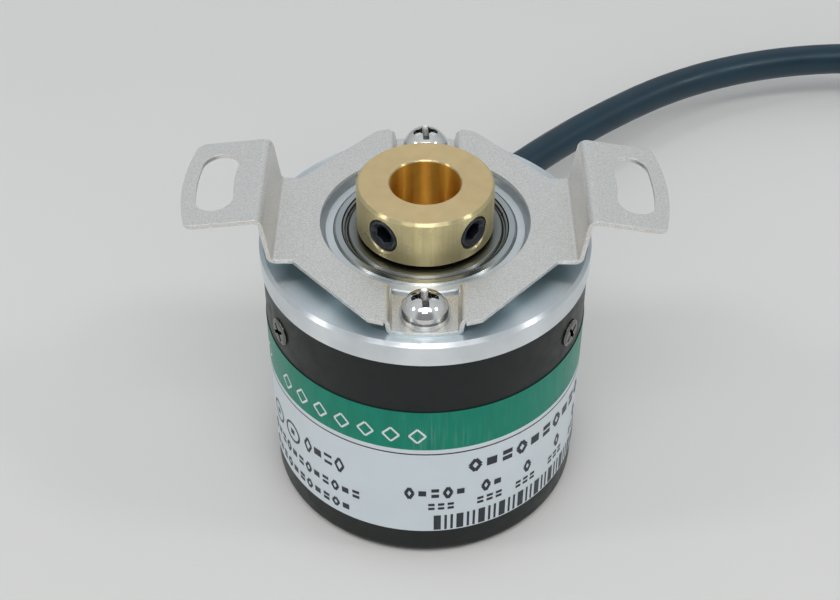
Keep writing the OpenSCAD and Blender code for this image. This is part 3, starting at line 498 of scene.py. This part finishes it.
def two_part(name, body, ends, edge, axis, roughness):
    """Chip parts, tinned over the first share `edge` of the set's length along the axis."""
    s = Shader(name)
    share = s.add("ShaderNodeTexCoord").outputs["Generated"]
    along = s.add("ShaderNodeSeparateXYZ", {"Vector": share}).outputs[axis]
    tinned = s.math("LESS_THAN", along, edge)
    s.set(base_color=s.blend(tinned, rgba(body), rgba(ends)), metallic=tinned)
    s.set(roughness=s.spread(s.noise(0.3 * MM), roughness * 0.8, roughness * 1.2))
    s.set(normal=s.bump(s.noise(0.15 * MM), 0.004 * MM))
    return s.material


PVC = dict(roughness=0.32, grain=0.5 * MM, depth=0.006 * MM, shade=0.06, edge=0.02)
PLATED = dict(metallic=1.0, shade=0.06)

# A finish that darkens its recesses and corners does so with painted shade.
finishes = {
    "turned_aluminium": turned_aluminium(),
    "hub_aluminium": turned("hub_aluminium", (0.78, 0.79, 0.81), 0.3, 0.12 * MM, 0.002 * MM),
    "can_aluminium": turned("can_aluminium", (0.74, 0.75, 0.77), 0.3, 0.1 * MM, 0.001 * MM, 0.0),
    "turned_brass": turned_brass(),
    "standoff_brass": plain("standoff_brass", (0.78, 0.58, 0.27), 0.25, 0.1 * MM, 0.001 * MM, **PLATED),
    "bearing_steel": turned("bearing_steel", (0.44, 0.47, 0.48), 0.26, 0.08 * MM, 0.001 * MM, 0.5,
                            painted_shade=0.6),
    "shield_steel": turned("shield_steel", (0.26, 0.27, 0.255), 0.26, 0.12 * MM, 0.0015 * MM, 0.5,
                           painted_shade=0.75),
    "ball_steel": plain("ball_steel", (0.84, 0.85, 0.86), 0.05, 0.2 * MM, 0.0001 * MM, **PLATED),
    "spring_steel": rolled_steel(),
    "spring_black": plain("spring_black", (0.13, 0.13, 0.14), 0.4, 0.1 * MM, 0.003 * MM, **PLATED),
    "nickel_screw": bright_plate(),
    "zinc_washer": plain("zinc_washer", (0.7, 0.7, 0.69), 0.24, 0.15 * MM, 0.002 * MM, painted_shade=0.5, **PLATED),
    "steel_screw": plain("steel_screw", (0.68, 0.68, 0.69), 0.25, 0.12 * MM, 0.002 * MM, **PLATED),
    "tinned_wire": plain("tinned_wire", (0.72, 0.71, 0.68), 0.28, 0.1 * MM, 0.003 * MM, **PLATED),
    "black_screw": plain("black_screw", (0.15, 0.15, 0.14), 0.28, 0.1 * MM, 0.006 * MM, metallic=0.9,
                         painted_shade=0.95, worn=(0.5, 0.5, 0.48)),
    "socket_black": plain("socket_black", (0.008, 0.011, 0.016), 0.32, 0.12 * MM, 0.002 * MM,
                          painted_shade=0.95, worn=(0.10, 0.12, 0.14)),
    "black_cover": plain("black_cover", (0.009, 0.0125, 0.012), 0.38, 0.12 * MM, 0.005 * MM, 0.1,
                         ior=1.33, worn=(0.06, 0.06, 0.062)),
    "label_film": label_film(),
    "cable_pvc": cable_sheath(),
    "braid": woven_braid(),
    "grommet_rubber": plain("grommet_rubber", (0.018, 0.018, 0.02), 0.62, 0.2 * MM, 0.008 * MM),
    "clamp_nylon": plain("clamp_nylon", (0.045, 0.045, 0.05), 0.5, 0.15 * MM, 0.004 * MM),
    "cage_nylon": plain("cage_nylon", (0.6, 0.47, 0.3), 0.5, 0.15 * MM, 0.004 * MM),
    "holder_plastic": plain("holder_plastic", (0.035, 0.035, 0.04), 0.45, 0.15 * MM, 0.004 * MM),
    "connector_ivory": plain("connector_ivory", (0.78, 0.76, 0.68), 0.42, 0.15 * MM, 0.003 * MM),
    "plug_white": plain("plug_white", (0.82, 0.82, 0.79), 0.42, 0.15 * MM, 0.003 * MM),
    "led_lens": plain("led_lens", (0.5, 0.6, 0.75), 0.08, 0.4 * MM, 0.0005 * MM, transmission_weight=0.7),
    "board_green": circuit_laminate(),
    "mask_glass": grating_glass(),
    "disc_glass": graduated_glass(),
    "chip_epoxy": plain("chip_epoxy", (0.03, 0.03, 0.033), 0.5, 0.08 * MM, 0.004 * MM),
    "ceramic_tan": two_part("ceramic_tan", (0.55, 0.42, 0.26), (0.72, 0.71, 0.68), 0.2, 0, 0.5),
    "resistor_black": two_part("resistor_black", (0.03, 0.03, 0.03), (0.72, 0.71, 0.68), 0.2, 1, 0.45),
    "pvc_red": plain("pvc_red", (0.5, 0.02, 0.015), **PVC),
    "pvc_black": plain("pvc_black", (0.015, 0.015, 0.016), **PVC),
    "pvc_green": plain("pvc_green", (0.015, 0.27, 0.08), **PVC),
    "pvc_white": plain("pvc_white", (0.76, 0.76, 0.74), **PVC),
}
for part in frame["record"]["subparts"]:
    mesh = nodes[part["node"]].data
    mesh.materials.clear()
    mesh.materials.append(finishes[part["material_slot"]])


# ---- label print -----------------------------------------------------------
def on_film(along, drop, layer):
    """Point on the label's face, in the given layer of ink."""
    angle = FRONT + along * MM / LABEL_R
    radius = LABEL_R + layer * PRINT_LIFT
    return Vector((radius * math.cos(angle), radius * math.sin(angle), LABEL_TOP - drop * MM))


def stroke(bm, start, end, width, layer=2):
    """Straight line of ink from one place to another, following the label's curve."""
    (x0, y0), (x1, y1) = start, end
    length = math.hypot(x1 - x0, y1 - y0)
    across = (-(y1 - y0) / length * width / 2, (x1 - x0) / length * width / 2)
    steps = max(1, math.ceil(abs(x1 - x0) / INK_STEP))
    sides = []
    for k in range(steps + 1):
        x = x0 + (x1 - x0) * k / steps
        y = y0 + (y1 - y0) * k / steps
        sides.append([bm.verts.new(on_film(x + s * across[0], y + s * across[1], layer)) for s in (-1, 1)])
    for (a, b), (c, d) in zip(sides, sides[1:]):
        bm.faces.new((a, c, d, b))


def block(bm, left, right, top, bottom, layer=2):
    """Filled rectangle of ink."""
    stroke(bm, (left, (top + bottom) / 2), (right, (top + bottom) / 2), bottom - top, layer)


def outline(bm, points, width):
    """Closed line of ink through the points."""
    for a, b in zip(points, points[1:] + points[:1]):
        stroke(bm, a, b, width)


def diamond(bm, x, y, wide, high, width):
    """Open diamond of half size wide by high."""
    outline(bm, [(x - wide, y), (x, y - high), (x + wide, y), (x, y + high)], width)


def symbols(bm, left, right, top, height, pitch, weight):
    """Row of tall open diamonds, solid squares and pairs of bars in place of a line of print."""
    count = max(1, round((right - left) / pitch))
    middle = top + height / 2
    half = (height - weight) / 2
    wide = 0.5 * pitch - 0.75 * weight
    for k in range(count):
        x = left + (k + 0.5) * pitch
        if k % 3 == 0:
            diamond(bm, x, middle, wide, half, weight)
        elif k % 3 == 1:
            block(bm, x - wide, x + wide, middle - wide, middle + wide)
        else:
            for y in (middle - half / 2, middle + half / 2):
                stroke(bm, (x - wide, y), (x + wide, y), 1.4 * weight)


def small_dashes(bm, middle, wide):
    """Two rows of short dashes in place of a small word."""
    count = max(2, round(wide / DASH_PITCH))
    pitch = wide / count
    for y in (DASH_TOP + 0.25 * DASH_H, DASH_TOP + 0.75 * DASH_H):
        for k in range(count):
            start = middle - wide / 2 + k * pitch
            stroke(bm, (start, y), (start + 0.66 * pitch, y), 0.3 * DASH_H)


def draw_band(bm):
    """Green band along the top edge."""
    block(bm, FILM_START, FILM_END, 0, BAND_H, layer=1)


def draw_rule(bm):
    """Thin line under the band."""
    block(bm, FILM_START, FILM_END, RULE_DROP, RULE_DROP + RULE_H, layer=1)


def draw_band_marks(bm):
    """Widely spaced open diamonds in two groups."""
    for k in DIAMOND_PLACES:
        x = DIAMOND_START - DIAMOND_PITCH * k
        diamond(bm, x, DIAMOND_DROP, DIAMOND_WIDE, DIAMOND_HIGH, DIAMOND_LINE)


def draw_dark_marks(bm):
    """Two rings with a dot, then rows of symbols in place of the lines of print."""
    ring = [2 * math.pi * k / RING_SIDES for k in range(RING_SIDES)]
    for x in RING_PLACES:
        outline(bm, [(x + RING_R * math.cos(a), RING_DROP + RING_R * math.sin(a)) for a in ring], RING_LINE)
        block(bm, x - DOT_HALF, x + DOT_HALF, RING_DROP - DOT_HALF, RING_DROP + DOT_HALF)
    for row in ROWS:
        symbols(bm, *row)
    for left, wide, under, shift in WORDS:
        symbols(bm, left, left + wide, WORD_TOP, WORD_H, WORD_PITCH, WORD_LINE)
        small_dashes(bm, left + wide / 2 + shift, under)


def draw_stripes(bm):
    """Plain upright stripes, a wide one and two narrow ones in turn, along the lower edge."""
    left = STRIPE_START
    k = 0
    while left < STRIPE_END:
        width = STRIPE_NARROW if k % 3 else STRIPE_WIDE
        block(bm, left, left + width, STRIPE_TOP, STRIPE_BOTTOM)
        left += width + STRIPE_GAP
        k += 1


def ink_piece(name, material, draw):
    """One printed layer as a piece on the stator."""
    bm = bmesh.new()
    draw(bm)
    mesh = bpy.data.meshes.new(name)
    bm.to_mesh(mesh)
    bm.free()
    mesh.shade_smooth()
    mesh.materials.append(material)
    piece = bpy.data.objects.new(name, mesh)
    bpy.context.scene.collection.objects.link(piece)
    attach(piece, "stator")


ink_piece("label_band", ink("green_ink", GREEN_INK), draw_band)
ink_piece("label_rule", ink("rule_ink", RULE_INK), draw_rule)
ink_piece("label_marks", ink("dark_ink", DARK_INK), draw_dark_marks)
ink_piece("label_stripes", ink("stripe_ink", DARK_INK), draw_stripes)
ink_piece("label_band_marks", ink("pale_ink", PALE_INK), draw_band_marks)


# ---- floor, light, camera ---------------------------------------------------
def floor():
    """Plain pale table, which isn't part of the object."""
    bpy.ops.mesh.primitive_plane_add(size=FLOOR_SIZE, location=(0, 0, FLOOR_Z))
    ground = bpy.context.object
    ground.name = "floor"
    s = Shader("pale_floor")
    s.set(base_color=s.tint((0.80, 0.785, 0.755), 0.012, 60 * MM), roughness=0.6, ior=1.3)
    s.set(normal=s.bump(s.noise(0.8 * MM), 0.01 * MM))
    ground.data.materials.append(s.material)


def softbox(name, place, size, brightness, colour, shine, matt):
    """Rectangular light that faces the body; it can be kept out of reflections or off matt surfaces."""
    lamp = bpy.data.lights.new(name, "AREA")
    lamp.shape = "RECTANGLE"
    lamp.size, lamp.size_y = size
    lamp.energy = brightness * math.pi * size[0] * size[1]
    lamp.color = colour
    holder = bpy.data.objects.new(name, lamp)
    holder.location = place
    holder.rotation_euler = (-Vector(place)).to_track_quat("-Z", "Y").to_euler()
    holder.visible_glossy = shine
    holder.visible_diffuse = matt
    bpy.context.scene.collection.objects.link(holder)


def sky():
    """Even pale sky, a little brighter overhead, with a dim patch behind the camera."""
    world = bpy.data.worlds.new("studio")
    world.use_nodes = True
    n = Nodes(world.node_tree)
    towards = n.add("ShaderNodeTexCoord").outputs["Generated"]
    parts = n.add("ShaderNodeSeparateXYZ", {0: towards}).outputs
    level = n.ramp(parts[2], 0.0, 1.0, SKY_LOW, SKY_HIGH)
    level = n.math("MULTIPLY", level, n.ramp(parts[1], -1.0, 1.0, SKY_FRONT, SKY_BACK))
    viewer = (0.0, -math.cos(VIEWER_ELEVATION), math.sin(VIEWER_ELEVATION))
    near_viewer = n.vector("DOT_PRODUCT", towards, viewer)
    shade = n.ramp(near_viewer, VIEWER_OUTER, VIEWER_INNER, 1.0, VIEWER_SHADE, "SMOOTHSTEP")
    level = n.math("MULTIPLY", level, shade)
    background = world.node_tree.nodes["Background"]
    background.inputs["Color"].default_value = rgba(SKY_COLOUR)
    n.put(background.inputs["Strength"], level)
    bpy.context.scene.world = world


def studio():
    """Sky and softboxes."""
    sky()
    for lamp in LAMPS:
        softbox(*lamp)


def camera():
    """Camera in front of the body and above it, aimed a little below the flange."""
    lens = bpy.data.cameras.new("camera")
    lens.lens = CAMERA_LENS
    lens.clip_start = 5 * MM
    view = bpy.data.objects.new("camera", lens)
    level = CAMERA_DISTANCE * math.cos(CAMERA_ELEVATION)
    view.location = (0, -level, CAMERA_DISTANCE * math.sin(CAMERA_ELEVATION))
    view.rotation_euler = (CAMERA_AIM - view.location).to_track_quat("-Z", "Y").to_euler()
    bpy.context.scene.collection.objects.link(view)
    bpy.context.scene.camera = view


floor()
studio()
camera()
bpy.context.scene.view_settings.view_transform = "Standard"
